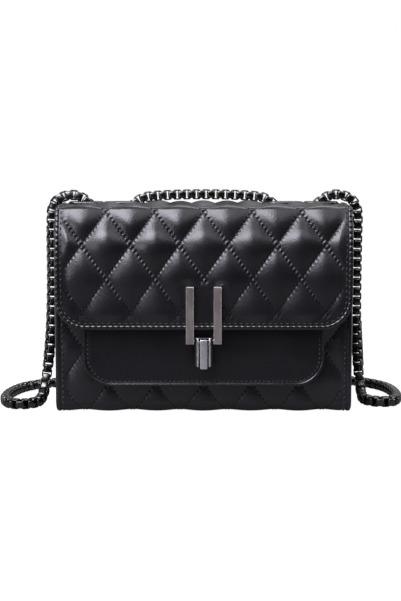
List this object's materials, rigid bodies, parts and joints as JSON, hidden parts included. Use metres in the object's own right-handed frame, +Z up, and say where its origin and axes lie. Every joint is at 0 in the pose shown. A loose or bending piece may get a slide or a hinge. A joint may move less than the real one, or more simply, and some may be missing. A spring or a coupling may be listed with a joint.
{
  "type": "chain shoulder bag",
  "caption": "Small quilted leather shoulder bag with a hinged flap, flip-lever bar lock, front slip pocket and a box chain threaded through eyelets in its top.",
  "frame": {"origin": "on the resting surface, under the middle of the bag's body", "axes": "+X to the right as seen from the front, the front faces -Y, +Z up"},
  "size_m": [0.2864, 0.127, 0.1495],
  "materials": {
    "quilted_leather": "black padded leather with a soft sheen, quilted in diamonds",
    "smooth_leather": "smooth black leather with a fine grain",
    "lining_fabric": "plain black woven lining",
    "stiffener_board": "bag stiffening board",
    "lock_metal": "brushed gunmetal plate",
    "hidden_steel": "plain steel",
    "eyelet_metal": "polished gunmetal plate",
    "chain_metal": "polished black gunmetal plate"
  },
  "bodies": {
    "bag_body": {"quilted_wrap": "quilted_leather", "gusset_left": "smooth_leather", "gusset_right": "smooth_leather", "side_binding_left": "smooth_leather", "side_binding_right": "smooth_leather", "pocket_panel": "smooth_leather", "pocket_gusset": "smooth_leather", "pocket_piping": "smooth_leather", "mouth_facing": "smooth_leather", "lining": "lining_fabric", "pocket_lining": "lining_fabric", "front_board": "stiffener_board", "back_board": "stiffener_board", "base_board": "stiffener_board", "strike_plate": "hidden_steel", "strike_washer": "hidden_steel", "eyelet_outer_left": "eyelet_metal", "eyelet_inner_left": "eyelet_metal", "eyelet_inner_right": "eyelet_metal", "eyelet_outer_right": "eyelet_metal", "eyelet_washer_outer_left": "eyelet_metal", "eyelet_washer_inner_left": "eyelet_metal", "eyelet_washer_inner_right": "eyelet_metal", "eyelet_washer_outer_right": "eyelet_metal", "chain_tuck_left": "chain_metal", "chain_top_run": "chain_metal", "chain_tuck_right": "chain_metal", "chain_side_right": "chain_metal", "chain_loop_right": "chain_metal", "chain_back_run": "chain_metal", "chain_loop_left": "chain_metal", "chain_side_left": "chain_metal"},
    "flap": {"flap_leather": "quilted_leather", "flap_lining": "lining_fabric", "flap_binding": "smooth_leather", "lock_bar_left": "lock_metal", "lock_bar_right": "lock_metal", "lock_rivets": "hidden_steel", "lock_backing_plate": "hidden_steel", "lock_pin": "lock_metal"},
    "lever": {"lock_lever": "lock_metal", "lever_magnet": "hidden_steel"}
  },
  "joints": [
    {"name": "flap_hinge", "type": "hinge", "parent": "bag_body", "child": "flap", "pos_m": [0, 0.0015, 0.13715], "axis": [-1, 0, 0], "range_deg": [0, 120]},
    {"name": "lever_pivot", "type": "hinge", "parent": "flap", "child": "lever", "pos_m": [0, -0.0414, 0.051], "axis": [-1, 0, 0], "range_deg": [0, 110]}
  ]
}
